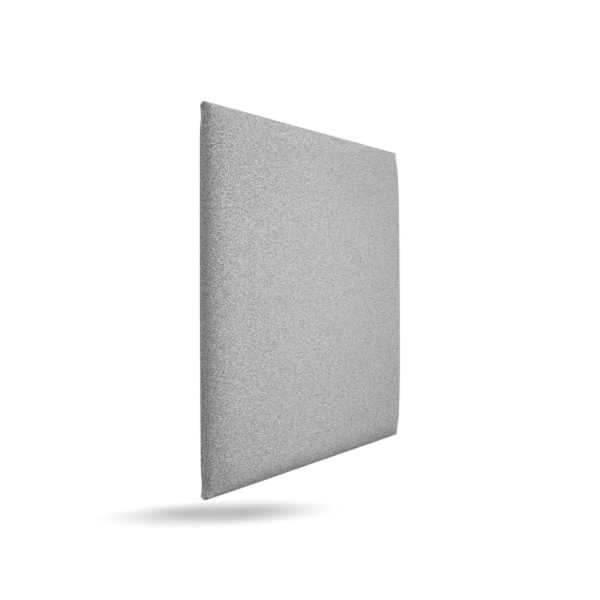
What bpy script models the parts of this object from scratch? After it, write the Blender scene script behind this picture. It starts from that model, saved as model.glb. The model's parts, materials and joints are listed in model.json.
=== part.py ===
"""Upholstered wall panel: a square board padded with foam and wadding, covered with one cloth.

The panel hangs on a wall. The wall's surface is the plane Y = 0, the panel's face looks along -Y,
X runs to the right and Z up, and the origin is on the wall behind the middle of the panel.
All sizes are in metres.
"""

import math

import bmesh
import bpy
import numpy as np
from mathutils import Matrix, Vector

# Clearance between two pieces that touch
SEAT_GAP = 0.0003

# Finished size and form of the covered panel
PANEL_SIDE = 0.600
CORNER_SINK = 0.0021
CROWN_RISE = 0.0240
FACE_DOME = 0.0007
ROLL_WIDTH = 0.0420
PLAN_RADIUS = 0.0085
SIDE_SWELL = 0.0020
SIDE_DRAW = 0.0015
DRAW_PLACE = 0.0200
DRAW_LENGTH = 0.0140
CORNER_PULL = 0.68
CORNER_REACH = 0.0600

# Layers
FABRIC_THICK = 0.0012
HEM_WIDTH = 0.0400
WADDING_THICK = 0.0020
BOARD_THICK = 0.0100
BOARD_EASE = 0.0015

# Staples
STAPLES_PER_SIDE = 8
STAPLE_CROWN = 0.0128
STAPLE_LEG = 0.0080
STAPLE_POINT = 0.0010
WIRE_THICK = 0.0007
WIRE_WIDTH = 0.00095
STAPLE_END_ROOM = 0.0550
STAPLE_INSET = 0.0240
CORNER_STAPLE_INSET = 0.0210

# Keyhole hanger plates
PLATE_LENGTH = 0.0500
PLATE_WIDTH = 0.0180
PLATE_THICK = 0.0015
ENTRY_DIAMETER = 0.0100
SLOT_WIDTH = 0.0050
SLOT_RISE = 0.0110
PLATE_HOLE_PITCH = 0.0380
HANGER_TO_PAD = 0.0210
HANGER_TO_HEM = 0.0100
POCKET_MARGIN = 0.0010
POCKET_DEPTH = 0.0055

# Countersunk screws of the plates
SCREW_HEAD = 0.0062
SCREW_HEAD_DEPTH = 0.0012
SCREW_SHANK = 0.0030
SCREW_LENGTH = 0.0090
SCREW_POINT = 0.0020
SCREW_SINK = 0.0001
RECESS_SPAN = 0.0034
RECESS_WIDTH = 0.0008
RECESS_DEPTH = 0.0009

# Felt pads against the wall
PAD_DIAMETER = 0.0200
PAD_THICK = 0.0030
PAD_TO_HEM = 0.0100
PAD_EDGE = 0.0004

# Fineness of the faceted forms
ROLL_STEPS = 4
PLAN_STEPS = 6
ROUND_STEPS = 24
SCREW_STEPS = 16

# Planes of the layers, from the wall to the front
BOARD_BACK_Y = -(PAD_THICK + SEAT_GAP)
BOARD_FRONT_Y = BOARD_BACK_Y - BOARD_THICK
HEM_BACK_Y = BOARD_BACK_Y + SEAT_GAP + FABRIC_THICK
STAPLE_BACK_Y = HEM_BACK_Y + SEAT_GAP + WIRE_THICK
PLATE_BACK_Y = BOARD_BACK_Y + SEAT_GAP + PLATE_THICK

# Half widths of the layers, and the places that follow from them
HALF = PANEL_SIDE / 2
WADDING_INSET = FABRIC_THICK + SEAT_GAP
FOAM_INSET = WADDING_INSET + WADDING_THICK + SEAT_GAP
BOARD_HALF = HALF - SIDE_DRAW - FOAM_INSET
BOARD_RADIUS = PLAN_RADIUS - FOAM_INSET
HEM_HALF = HALF - HEM_WIDTH
PAD_PLACE = HEM_HALF - PAD_TO_HEM - PAD_DIAMETER / 2
HANGER_X = PAD_PLACE - PAD_DIAMETER / 2 - HANGER_TO_PAD - PLATE_WIDTH / 2
HANGER_Z = HEM_HALF - HANGER_TO_HEM - PLATE_LENGTH / 2

# Height of the straight side strip: hem, board, wadding and cloth, drawn down at the corners
STRIP_AT_MIDDLE = HEM_BACK_Y - BOARD_FRONT_Y + FOAM_INSET
STRIP_AT_CORNER = STRIP_AT_MIDDLE - CORNER_SINK

QUADRANTS = ((1, 1), (-1, 1), (-1, -1), (1, -1))
ROUNDING = 1e-6
ROUND_PROFILE = 0.5


# Scene and object helpers


def clear_scene():
    for old in list(bpy.data.objects):
        bpy.data.objects.remove(old, do_unlink=True)


def new_collection(name, inside=None):
    made = bpy.data.collections.new(name)
    (inside or bpy.context.scene.collection).children.link(made)
    return made


def new_material(name, colour, roughness, metallic=0.0):
    made = bpy.data.materials.new(name)
    made.use_nodes = True
    shader = made.node_tree.nodes["Principled BSDF"]
    shader.inputs["Base Color"].default_value = (*colour, 1.0)
    shader.inputs["Roughness"].default_value = roughness
    shader.inputs["Metallic"].default_value = metallic
    made.diffuse_color = (*colour, 1.0)
    return made


def add_object(name, data, collection, material=None, parent=None):
    made = bpy.data.objects.new(name, data)
    collection.objects.link(made)
    if material is not None and not data.materials:
        data.materials.append(material)
    made.parent = parent
    return made


def as_cutter(piece):
    piece.hide_render = True
    piece.display_type = "WIRE"
    return piece


def mesh_from(bm, name, crease=35.0):
    """The bmesh as a mesh, shaded smooth but for its edges over the crease angle in degrees."""
    mesh = bpy.data.meshes.new(name)
    bm.to_mesh(mesh)
    bm.free()
    mesh.shade_smooth()
    mesh.set_sharp_from_angle(angle=math.radians(crease))
    return mesh


def solid_mesh(bm, name):
    """The closed bmesh as a mesh with its faces turned outwards."""
    bmesh.ops.recalc_face_normals(bm, faces=bm.faces)
    return mesh_from(bm, name)


def add_box(bm, low, high):
    """A box between two corners, added to the bmesh."""
    size = Vector(high) - Vector(low)
    middle = (Vector(high) + Vector(low)) / 2
    place = Matrix.Translation(middle) @ Matrix.Diagonal((*size, 1.0))
    return bmesh.ops.create_cube(bm, size=1.0, matrix=place)["verts"]


def cut(piece, cutters, name):
    """Cuts the piece with every object of a collection at once."""
    modifier = piece.modifiers.new(name, "BOOLEAN")
    modifier.operation = "DIFFERENCE"
    modifier.solver = "EXACT"
    modifier.operand_type = "COLLECTION"
    modifier.collection = cutters


def thicken_inwards(piece, thickness):
    modifier = piece.modifiers.new("thickness", "SOLIDIFY")
    modifier.thickness = thickness
    modifier.offset = -1.0
    modifier.use_even_offset = True
    modifier.use_quality_normals = True


def turned(name, profile, collection, material=None, parent=None):
    """A profile of (radius, height), top to bottom, turned about the piece's own Z."""
    mesh = bpy.data.meshes.new(name)
    points = [(radius, 0.0, height) for radius, height in profile]
    mesh.from_pydata(points, [(step, step + 1) for step in range(len(points) - 1)], [])
    piece = add_object(name, mesh, collection, material, parent)
    modifier = piece.modifiers.new("turn", "SCREW")
    modifier.steps = SCREW_STEPS
    modifier.render_steps = SCREW_STEPS
    modifier.use_merge_vertices = True
    modifier.merge_threshold = ROUNDING
    return piece


def arc_points(centre, radius, start, end, steps):
    """Points on a circle from one angle to another, both included, angles in degrees."""
    turns = np.radians(np.linspace(start, end, steps + 1))
    return [
        (centre[0] + radius * math.cos(turn), centre[1] + radius * math.sin(turn))
        for turn in turns
    ]


def slot_outline(width, low, high):
    """Upright slot with half-round ends about the heights low and high."""
    top = arc_points((0.0, high), width / 2, 0.0, 180.0, ROUND_STEPS // 2)
    bottom = arc_points((0.0, low), width / 2, 180.0, 360.0, ROUND_STEPS // 2)
    return top + bottom


def flat_curve(name, outlines, thickness):
    """A filled 2D curve with its rim and its holes, extruded evenly to both sides."""
    curve = bpy.data.curves.new(name, "CURVE")
    curve.dimensions = "2D"
    curve.fill_mode = "BOTH"
    curve.extrude = thickness / 2
    for outline in outlines:
        spline = curve.splines.new("POLY")
        spline.points.add(len(outline) - 1)
        for point, (across, along) in zip(spline.points, outline):
            point.co = (across, along, 0.0, 1.0)
        spline.use_cyclic_u = True
    return curve


def welded_mesh(name, curve, places):
    """Copies of the curve's filled solid at the places, as one mesh with welded caps."""
    guide = bpy.data.objects.new(name + "_guide", curve)
    bpy.context.scene.collection.objects.link(guide)
    graph = bpy.context.evaluated_depsgraph_get()
    drawn = bpy.data.meshes.new_from_object(guide.evaluated_get(graph))
    bpy.data.objects.remove(guide, do_unlink=True)
    bm = bmesh.new()
    for place in places:
        before = len(bm.verts)
        bm.from_mesh(drawn)
        bm.verts.ensure_lookup_table()
        bmesh.ops.transform(bm, matrix=place, verts=bm.verts[before:])
    bmesh.ops.remove_doubles(bm, verts=bm.verts, dist=ROUNDING)
    bpy.data.meshes.remove(drawn)
    return solid_mesh(bm, name)


def standing_at(x, y, z):
    """Stands something drawn flat in XY up against the wall, its thickness along Y."""
    return Matrix.Translation((x, y, z)) @ Matrix.Rotation(math.radians(90.0), 4, "X")


def put_on_back(piece, x, y, z):
    """Puts a piece turned about Z on the back, its top looking at the wall."""
    piece.location = (x, y, z)
    piece.rotation_euler = (math.radians(-90.0), 0.0, 0.0)


# The soft form, shared by cover, wadding and foam


def grid_lines():
    """Where the form has an edge across the panel: close together in the rolls, wide on the face."""
    angles = np.linspace(0.0, math.pi / 2, ROLL_STEPS + 1)
    inset = ROLL_WIDTH * (1.0 - np.cos(angles))
    inset = np.append(inset, [(ROLL_WIDTH + HALF) / 2, HALF])
    return np.concatenate([inset - HALF, (HALF - inset[:-1])[::-1]])


def rounded_plan(u, v):
    """Distances from the two nearest edges, bent so that each ring of the plan has round corners."""
    near = np.minimum(u, v)
    along = np.abs(u - v)
    radius = np.maximum(PLAN_RADIUS - near, ROUNDING)
    turn = np.pi / 4 * np.clip(1.0 - along / radius, 0.0, 1.0)
    in_arc = near + along < PLAN_RADIUS
    close = np.where(in_arc, PLAN_RADIUS - radius * np.cos(turn), near)
    far = np.where(in_arc, PLAN_RADIUS - radius * np.sin(turn), near + along)
    return np.where(u <= v, close, far), np.where(u <= v, far, close)


def side_offset(along):
    """How far a side stands out at a distance from its corner: drawn in first, then swollen."""
    swell = SIDE_SWELL * np.sin(np.pi / 2 * along / HALF)
    draw = SIDE_DRAW * np.exp(-(((along - DRAW_PLACE) / DRAW_LENGTH) ** 2))
    return swell - draw


def roll(distance):
    """Quarter ellipse from 0 at the edge to 1 where the face is flat."""
    inward = np.minimum(distance / ROLL_WIDTH, 1.0)
    return np.sqrt(1.0 - (1.0 - inward) ** 2)


def soft_form(x, z):
    """Outer surface of the covered panel over the point (x, z) of a flat square.

    The height over the back is the side strip, plus the crown, which is the product of the rolls
    from both edges and is pulled down towards the corners, plus a slight dome.
    """
    u = HALF - np.abs(x)
    v = HALF - np.abs(z)
    rise_u = np.sin(np.pi / 2 * u / HALF)
    rise_v = np.sin(np.pi / 2 * v / HALF)
    mid = 1.0 - (1.0 - rise_u) * (1.0 - rise_v)
    strip = STRIP_AT_CORNER + (STRIP_AT_MIDDLE - STRIP_AT_CORNER) * mid
    pull = 1.0 - CORNER_PULL * np.exp(-(u + v) / CORNER_REACH)
    height = strip + CROWN_RISE * pull * roll(u) * roll(v) + FACE_DOME * rise_u * rise_v
    bent_u, bent_v = rounded_plan(u, v)
    fade_u = np.maximum(1.0 - u / ROLL_WIDTH, 0.0)
    fade_v = np.maximum(1.0 - v / ROLL_WIDTH, 0.0)
    out_x = np.sign(x) * (HALF - bent_u + side_offset(v) * fade_u)
    out_z = np.sign(z) * (HALF - bent_v + side_offset(u) * fade_v)
    return np.stack([out_x, HEM_BACK_Y - height, out_z], axis=1)


def extrude_rim(bm, move):
    """Extrudes the open edges and puts each new vertex where move sends it."""
    rim = [edge for edge in bm.edges if edge.is_boundary]
    made = bmesh.ops.extrude_edge_only(bm, edges=rim)["geom"]
    for vert in (item for item in made if isinstance(item, bmesh.types.BMVert)):
        vert.co = move(vert.co)


def soft_front():
    """The covered panel's face and sides, open at the back, with the faces outwards."""
    lines = grid_lines()
    segments = len(lines) - 1
    bm = bmesh.new()
    bmesh.ops.create_grid(bm, x_segments=segments, y_segments=segments, size=1.0)
    flat = np.array([vert.co[:2] for vert in bm.verts])
    index = np.rint((flat + 1.0) / 2 * segments).astype(int)
    places = soft_form(lines[index[:, 0]], lines[index[:, 1]])
    for vert, place in zip(bm.verts, places):
        vert.co = place
    extrude_rim(bm, lambda place: Vector((place.x, HEM_BACK_Y, place.z)))
    face_outwards(bm)
    return bm


def face_outwards(bm):
    """Turns an open form so that its face looks away from the wall."""
    bmesh.ops.recalc_face_normals(bm, faces=bm.faces)
    foremost = min(bm.faces, key=lambda face: face.calc_center_median().y)
    if foremost.normal.y > 0:
        bmesh.ops.reverse_faces(bm, faces=bm.faces)
    bm.normal_update()


def shrink(verts, distance):
    """Moves the faces round these vertices inwards by the distance."""
    steps = [vert.normal * (distance * vert.calc_shell_factor()) for vert in verts]
    for vert, step in zip(verts, steps):
        vert.co -= step


# Soft pieces


def hem_place(place):
    """Where a point of the back edge lies on the hem's cut edge."""
    x = min(max(place.x, -HEM_HALF), HEM_HALF)
    z = min(max(place.z, -HEM_HALF), HEM_HALF)
    return Vector((x, HEM_BACK_Y, z))


def make_cover(collection, material, parent):
    """One cloth over the face, round the sides and folded onto the back as a hem."""
    bm = soft_front()
    extrude_rim(bm, hem_place)
    bmesh.ops.remove_doubles(bm, verts=bm.verts, dist=ROUNDING)
    face_outwards(bm)
    mesh = mesh_from(bm, "fabric_cover")
    cover = add_object("fabric_cover", mesh, collection, material, parent)
    thicken_inwards(cover, FABRIC_THICK)
    return cover


def make_wadding(collection, material, parent):
    """An even layer under the cloth, over the face and down past the board's edge."""
    bm = soft_front()
    outer = bm.verts[:]
    rim = [edge for edge in bm.edges if edge.is_boundary]
    twins = bmesh.ops.duplicate(bm, geom=outer + bm.edges[:] + bm.faces[:])["vert_map"]
    inner = [twins[vert] for vert in outer]
    shrink(outer, WADDING_INSET)
    shrink(inner, WADDING_INSET + WADDING_THICK)
    for first, second in [edge.verts for edge in rim]:
        corners = (first, second, twins[second], twins[first])
        bm.faces.new(corners)
        for vert in corners:
            vert.co.y = BOARD_BACK_Y
    mesh = solid_mesh(bm, "wadding_layer")
    add_object("wadding_layer", mesh, collection, material, parent)


def make_foam(collection, material, parent):
    """The pad between wadding and board, cut flat where it lies on the board."""
    bm = soft_front()
    shrink(bm.verts, FOAM_INSET)
    bmesh.ops.bisect_plane(
        bm,
        geom=bm.verts[:] + bm.edges[:] + bm.faces[:],
        dist=ROUNDING,
        plane_co=(0.0, BOARD_FRONT_Y - SEAT_GAP, 0.0),
        plane_no=(0.0, 1.0, 0.0),
        clear_outer=True,
    )
    bmesh.ops.edgeloop_fill(bm, edges=[edge for edge in bm.edges if edge.is_boundary])
    add_object("foam_pad", solid_mesh(bm, "foam_pad"), collection, material, parent)


# Board


def make_board(collection, material, parent):
    """A square plate with rounded corners, its front rim eased so that it doesn't cut the layers."""
    bm = bmesh.new()
    low = (-BOARD_HALF, BOARD_FRONT_Y, -BOARD_HALF)
    high = (BOARD_HALF, BOARD_BACK_Y, BOARD_HALF)
    add_box(bm, low, high)
    corners = [edge for edge in bm.edges if abs(edge.verts[0].co.y - edge.verts[1].co.y) > ROUNDING]
    bmesh.ops.bevel(
        bm,
        geom=corners,
        offset=BOARD_RADIUS,
        segments=PLAN_STEPS,
        profile=ROUND_PROFILE,
        affect="EDGES",
    )
    front = BOARD_FRONT_Y + ROUNDING
    rim = [edge for edge in bm.edges if max(vert.co.y for vert in edge.verts) < front]
    bmesh.ops.bevel(bm, geom=rim, offset=BOARD_EASE, segments=1, affect="EDGES")
    return add_object("backing_board", solid_mesh(bm, "board"), collection, material, parent)


# Staples


def staple_outline():
    """U of flat wire: crown along X at the top, legs down, each cut to a point."""
    half = STAPLE_CROWN / 2
    inner = half - WIRE_THICK
    bend = WIRE_THICK / 2
    shoulder = STAPLE_POINT - STAPLE_LEG
    return [
        (-half, shoulder),
        (-inner, -STAPLE_LEG),
        (-inner, -WIRE_THICK),
        (inner, -WIRE_THICK),
        (inner, -STAPLE_LEG),
        (half, shoulder),
        (half, -bend),
        (half - bend, 0.0),
        (bend - half, 0.0),
        (-half, -bend),
    ]


def staple_places():
    """Name, place (x, z) and turn in degrees about Y of each staple on the back."""
    reach = HALF - STAPLE_END_ROOM
    edge = HALF - STAPLE_INSET
    corner = HALF - CORNER_STAPLE_INSET
    places = []
    for number, step in enumerate(np.linspace(-reach, reach, STAPLES_PER_SIDE), start=1):
        places.append((f"staple_top_{number}", (step, edge), 0.0))
        places.append((f"staple_bottom_{number}", (step, -edge), 0.0))
        places.append((f"staple_left_{number}", (-edge, step), 90.0))
        places.append((f"staple_right_{number}", (edge, step), 90.0))
    for number, (side, up) in enumerate(QUADRANTS, start=1):
        place = (side * corner, up * corner)
        places.append((f"staple_corner_{number}", place, 45.0 * side * up))
    return places


def make_staples(collection, material, parent):
    """Each staple's crown lies on the hem, its legs go through the cloth into the board."""
    wire = flat_curve("staple", [staple_outline()], WIRE_WIDTH)
    for name, (x, z), turn in staple_places():
        staple = add_object(name, wire, collection, material, parent)
        staple.location = (x, STAPLE_BACK_Y, z)
        staple.rotation_euler = (0.0, math.radians(turn), 0.0)


def make_leg_cutter(collection):
    """A box round each staple leg, through the hem and blind into the board."""
    bm = bmesh.new()
    outer = STAPLE_CROWN / 2 + SEAT_GAP
    inner = STAPLE_CROWN / 2 - WIRE_THICK - SEAT_GAP
    across = WIRE_WIDTH / 2 + SEAT_GAP
    tip_y = STAPLE_BACK_Y - STAPLE_LEG - SEAT_GAP
    mouth_y = HEM_BACK_Y + SEAT_GAP
    for _, (x, z), turn in staple_places():
        place = Matrix.Translation((x, 0.0, z)) @ Matrix.Rotation(math.radians(turn), 4, "Y")
        for low, high in ((-outer, -inner), (inner, outer)):
            verts = add_box(bm, (low, tip_y, -across), (high, mouth_y, across))
            bmesh.ops.transform(bm, matrix=place, verts=verts)
    return as_cutter(add_object("leg_cutter", solid_mesh(bm, "leg_cutter"), collection))


# Hanger plates, their screws and their seats in the board


def hanger_places():
    """Name of each plate and its middle across the panel."""
    return (("left", -HANGER_X), ("right", HANGER_X))


def keyhole_outline():
    """Round entry at the bottom, and above it a narrow slot with a round end."""
    entry = ENTRY_DIAMETER / 2
    slot = SLOT_WIDTH / 2
    mouth = math.degrees(math.asin(slot / entry))
    below = arc_points((0.0, -SLOT_RISE / 2), entry, 90.0 + mouth, 450.0 - mouth, ROUND_STEPS)
    above = arc_points((0.0, SLOT_RISE / 2), slot, 0.0, 180.0, ROUND_STEPS // 2)
    return below + above


def make_plates(collection, material, parent):
    """Flat steel plates with a keyhole, screwed over the pockets of the board."""
    middle = (PLATE_LENGTH - PLATE_WIDTH) / 2
    rim = slot_outline(PLATE_WIDTH, -middle, middle)
    drawn = flat_curve("plate_drawing", [rim, keyhole_outline()], PLATE_THICK)
    mesh = welded_mesh("hanger_plate", drawn, [standing_at(0.0, 0.0, 0.0)])
    plates = []
    for side, x in hanger_places():
        plate = add_object(f"hanger_plate_{side}", mesh, collection, material, parent)
        plate.location = (x, PLATE_BACK_Y - PLATE_THICK / 2, HANGER_Z)
        plates.append(plate)
    return plates


def make_pocket_cutter(collection):
    """Room in the board for the head of each wall screw, all along its keyhole."""
    width = ENTRY_DIAMETER + 2 * POCKET_MARGIN
    rim = slot_outline(width, -SLOT_RISE / 2, SLOT_RISE / 2)
    drawn = flat_curve("pocket_drawing", [rim], 2 * POCKET_DEPTH)
    places = [standing_at(x, BOARD_BACK_Y, HANGER_Z) for _, x in hanger_places()]
    mesh = welded_mesh("pocket_cutter", drawn, places)
    return as_cutter(add_object("pocket_cutter", mesh, collection))


def screw_profile():
    """Countersunk screw from the top down, its head's top at height 0."""
    return [
        (0.0, 0.0),
        (SCREW_HEAD / 2, 0.0),
        (SCREW_SHANK / 2, -SCREW_HEAD_DEPTH),
        (SCREW_SHANK / 2, SCREW_POINT - SCREW_LENGTH),
        (0.0, -SCREW_LENGTH),
    ]


def hole_profile():
    """The screw's hole: its cone stands off the head, its bore off the shank."""
    head = SCREW_HEAD / 2 + 2 * SEAT_GAP
    bore = SCREW_SHANK / 2 + SEAT_GAP
    slope = SCREW_HEAD_DEPTH / (SCREW_HEAD - SCREW_SHANK) * 2
    return [
        (0.0, SEAT_GAP),
        (head, SEAT_GAP),
        (head, 0.0),
        (bore, -slope * (head - bore)),
        (bore, -SCREW_LENGTH - SEAT_GAP),
        (0.0, -SCREW_LENGTH - SEAT_GAP),
    ]


def make_recess_mesh():
    """A cross: a square bar with an arm drawn out of each of its four sides."""
    bm = bmesh.new()
    half = RECESS_WIDTH / 2
    add_box(bm, (-half, -half, -RECESS_DEPTH), (half, half, RECESS_DEPTH))
    sides = [face for face in bm.faces if abs(face.normal.z) < 0.5]
    arms = bmesh.ops.extrude_discrete_faces(bm, faces=sides)["faces"]
    for arm in arms:
        step = arm.normal * (RECESS_SPAN - RECESS_WIDTH) / 2
        bmesh.ops.translate(bm, vec=step, verts=arm.verts)
    return solid_mesh(bm, "recess_cutter")


def screw_places():
    """Place (x, z) of each screw: two in each plate, above and below its keyhole."""
    return [
        (x, HANGER_Z + up * PLATE_HOLE_PITCH / 2)
        for _, x in hanger_places()
        for up in (1, -1)
    ]


def make_screws(collection, recess_cutters, hole_cutters, material, parent):
    """Countersunk screws with a cross recess, and the cutters of the holes they sit in."""
    head_y = PLATE_BACK_Y - SCREW_SINK
    recess_mesh = make_recess_mesh()
    for number, (x, z) in enumerate(screw_places(), start=1):
        name = f"hanger_screw_{number}"
        screw = turned(name, screw_profile(), collection, material, parent)
        recess = as_cutter(add_object(f"recess_cutter_{number}", recess_mesh, recess_cutters))
        hole = as_cutter(turned(f"hole_cutter_{number}", hole_profile(), hole_cutters))
        for piece in (screw, recess, hole):
            put_on_back(piece, x, head_y, z)
        cut(screw, recess_cutters, "recess")


# Felt pads


def make_pads(collection, material, parent):
    """Round felt pads near the corners of the back, between the board and the wall."""
    bm = bmesh.new()
    bmesh.ops.create_cone(
        bm,
        cap_ends=True,
        segments=ROUND_STEPS,
        radius1=PAD_DIAMETER / 2,
        radius2=PAD_DIAMETER / 2,
        depth=PAD_THICK,
    )
    rims = [edge for edge in bm.edges if edge.verts[0].co.z * edge.verts[1].co.z > 0]
    bmesh.ops.bevel(bm, geom=rims, offset=PAD_EDGE, segments=1, affect="EDGES")
    mesh = solid_mesh(bm, "wall_pad")
    for number, (side, up) in enumerate(QUADRANTS, start=1):
        pad = add_object(f"wall_pad_{number}", mesh, collection, material, parent)
        put_on_back(pad, side * PAD_PLACE, -PAD_THICK / 2, up * PAD_PLACE)


# The whole panel


def build():
    clear_scene()
    panel = new_collection("upholstered_wall_panel")
    cutters = new_collection("cutters")
    leg_cutters = new_collection("leg_cutters", cutters)
    hole_cutters = new_collection("hole_cutters", cutters)
    board_cutters = new_collection("board_cutters", cutters)
    recess_cutters = new_collection("recess_cutters", cutters)
    origin = bpy.data.objects.new("wall_origin", None)
    panel.objects.link(origin)

    cloth = new_material("grey_melange_cloth", (0.475, 0.478, 0.482), 0.9)
    padding = new_material("white_wadding", (0.80, 0.80, 0.78), 0.95)
    foam = new_material("pale_foam", (0.78, 0.74, 0.60), 0.9)
    wood = new_material("fibreboard", (0.42, 0.29, 0.18), 0.75)
    wire = new_material("zinc_wire", (0.60, 0.60, 0.60), 0.35, 1.0)
    steel = new_material("zinc_plate", (0.55, 0.56, 0.58), 0.30, 1.0)
    felt = new_material("dark_felt", (0.10, 0.10, 0.11), 0.95)

    cover = make_cover(panel, cloth, origin)
    make_wadding(panel, padding, origin)
    make_foam(panel, foam, origin)
    board = make_board(panel, wood, origin)
    make_staples(panel, wire, origin)
    plates = make_plates(panel, steel, origin)
    make_screws(panel, recess_cutters, hole_cutters, steel, origin)
    make_pads(panel, felt, origin)

    make_leg_cutter(leg_cutters)
    make_pocket_cutter(board_cutters)
    for cutter in leg_cutters.objects[:] + hole_cutters.objects[:]:
        board_cutters.objects.link(cutter)
    cut(cover, leg_cutters, "staple_legs")
    cut(board, board_cutters, "seats_of_hardware")
    for plate in plates:
        cut(plate, hole_cutters, "countersinks")


build()
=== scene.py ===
# %% [markdown]
# # An upholstered wall panel
#
# This notebook dresses one wall panel: a square board with a foam pad, a thin layer of wadding and a
# single square of grey melange cloth, pulled round the sides and stapled on the back. The solids that
# hold the panel together come in as a fixed frame. The soft layers are made anew here, finer than the
# solids can be, and every surface gets a finish that is worked out from numbers alone.

import json

import bpy
import numpy as np
from mathutils import Matrix

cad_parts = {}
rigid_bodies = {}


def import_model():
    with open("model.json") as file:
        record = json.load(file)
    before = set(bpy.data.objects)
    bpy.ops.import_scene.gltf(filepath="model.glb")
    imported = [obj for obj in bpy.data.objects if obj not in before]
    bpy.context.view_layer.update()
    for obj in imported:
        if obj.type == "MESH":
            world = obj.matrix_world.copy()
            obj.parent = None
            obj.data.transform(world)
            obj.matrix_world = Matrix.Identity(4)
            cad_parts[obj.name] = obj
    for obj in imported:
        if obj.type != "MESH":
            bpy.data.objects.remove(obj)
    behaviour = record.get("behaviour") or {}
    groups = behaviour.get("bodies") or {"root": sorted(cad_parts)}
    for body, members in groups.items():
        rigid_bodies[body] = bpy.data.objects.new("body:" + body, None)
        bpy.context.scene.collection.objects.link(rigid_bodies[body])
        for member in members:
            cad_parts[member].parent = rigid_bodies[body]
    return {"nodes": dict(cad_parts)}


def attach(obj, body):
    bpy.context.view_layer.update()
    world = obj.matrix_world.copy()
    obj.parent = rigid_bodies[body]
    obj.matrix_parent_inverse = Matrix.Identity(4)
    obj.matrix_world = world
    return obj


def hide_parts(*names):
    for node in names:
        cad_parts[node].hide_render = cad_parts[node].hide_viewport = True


for leftover in list(bpy.data.objects):
    bpy.data.objects.remove(leftover)
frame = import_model()
bpy.context.view_layer.update()

# %% [markdown]
# ## The camera
#
# The panel is seen from its left end, a little in front of its face, with the horizon just above its
# middle. The near edge is drawn well over a third taller than the far one, so the camera stands close.
# Its place, direction and focal length come from where the panel's outline lies in the picture. A small
# shift keeps the upright edges upright, and what lean is left is well under one degree.

# %% The camera's place and lens
PICTURE_SIZE = 600.0
SENSOR_WIDTH = 36.0
FOCAL_PIXELS = 781.0
AXIS_ROW = 272.5
CAMERA_PLACE = np.array([-1.1828, -0.8077, 0.0307])
CAMERA_TURN = np.radians(35.07)
CAMERA_LIFT = np.radians(0.504)
CAMERA_LEAN = np.radians(-0.208)

look = np.array(
    [
        np.cos(CAMERA_TURN) * np.cos(CAMERA_LIFT),
        np.sin(CAMERA_TURN) * np.cos(CAMERA_LIFT),
        np.sin(CAMERA_LIFT),
    ]
)
level_right = np.array([np.sin(CAMERA_TURN), -np.cos(CAMERA_TURN), 0.0])
level_up = np.cross(level_right, look)
camera_right = np.cos(CAMERA_LEAN) * level_right + np.sin(CAMERA_LEAN) * level_up
camera_up = np.cross(camera_right, look)

camera_data = bpy.data.cameras.new("view_of_panel")
camera_data.sensor_width = SENSOR_WIDTH
camera_data.lens = FOCAL_PIXELS / PICTURE_SIZE * SENSOR_WIDTH
camera_data.shift_y = (AXIS_ROW - PICTURE_SIZE / 2) / PICTURE_SIZE
camera = bpy.data.objects.new("view_of_panel", camera_data)
turned = Matrix(np.stack([camera_right, camera_up, -look], axis=1).tolist()).to_4x4()
camera.matrix_world = Matrix.Translation(CAMERA_PLACE.tolist()) @ turned
bpy.context.scene.collection.objects.link(camera)
bpy.context.scene.camera = camera
print("lens in mm", round(camera_data.lens, 2), "upward shift", round(camera_data.shift_y, 4))

# %% [markdown]
# ## Floor, backdrop and light
#
# The panel hangs three centimetres above a white floor. A broad soft lamp stands in front of it, a
# little up and to its right. A smaller one with a grid gathers its light on the near half of the face,
# so the face falls off gently towards its far and lower sides. Weak lamps on the left and behind, and a
# grey even surrounding, fill the shadows.
#
# A floor that is truly white would light the underside too much, and one that is grey would not look
# white. So the floor is a dark grey to the light and a paler grey to the camera. Round the near corner it
# shows a painted shadow: an ellipse of lamp-lit grey floor, darker than white even where no light is
# blocked, with the panel's own soft shadow on it. Further out it fades to plain white.

# %% Helpers for nodes
def node(tree, kind, inputs=None, **settings):
    """Adds one node, sets what it is told to, and links or fills its inputs."""
    made = tree.nodes.new(kind)
    for key, value in settings.items():
        setattr(made, key, value)
    for key, value in (inputs or {}).items():
        if isinstance(value, bpy.types.NodeSocket):
            tree.links.new(value, made.inputs[key])
        else:
            made.inputs[key].default_value = value
    return made


def reckon(tree, operation, first, second=0.0, third=0.0):
    """One step of arithmetic on numbers or outputs, as an output."""
    values = {0: first, 1: second, 2: third}
    return node(tree, "ShaderNodeMath", values, operation=operation).outputs[0]


def colour_between(tree, share, first, second):
    """The first colour at a share of 0 and the second at 1."""
    values = {0: share, 6: first, 7: second}
    return node(tree, "ShaderNodeMix", values, data_type="RGBA").outputs[2]


def seen_directly(tree):
    """1 for rays that come from the camera, a mirror or glass, and 0 for those that carry light."""
    path = node(tree, "ShaderNodeLightPath").outputs
    either = reckon(tree, "MAXIMUM", path["Is Camera Ray"], path["Is Glossy Ray"])
    return reckon(tree, "MAXIMUM", either, path["Is Transmission Ray"])


# %% Floor
FLOOR_LEVEL = -0.332
FLOOR_HALF = 12.0

floor_mesh = bpy.data.meshes.new("studio_floor")
floor_corners = FLOOR_HALF * np.array([(-1, -1, 0), (1, -1, 0), (1, 1, 0), (-1, 1, 0)], dtype=float)
floor_corners[:, 2] = FLOOR_LEVEL
floor_mesh.from_pydata(floor_corners.tolist(), [], [(0, 1, 2, 3)])
studio_floor = bpy.data.objects.new("studio_floor", floor_mesh)
bpy.context.scene.collection.objects.link(studio_floor)
print("floor level in mm", FLOOR_LEVEL * 1000)

# %% Floor finish
# The ellipse is a painted shadow. Inside it the camera sees the floor's grey under the lamps, darker than
# white even where no light is blocked, with the panel's own shadow on it. Outside it plain white glows.
SHADOW_PLACE = (-0.2594, -0.0061)
SHADOW_TURN = -0.814
SHADOW_LONG = 0.204
SHADOW_SHORT = 0.080
SHADOW_HEART = 0.10
WHITE = (1.0, 1.0, 1.0, 1.0)

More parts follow.
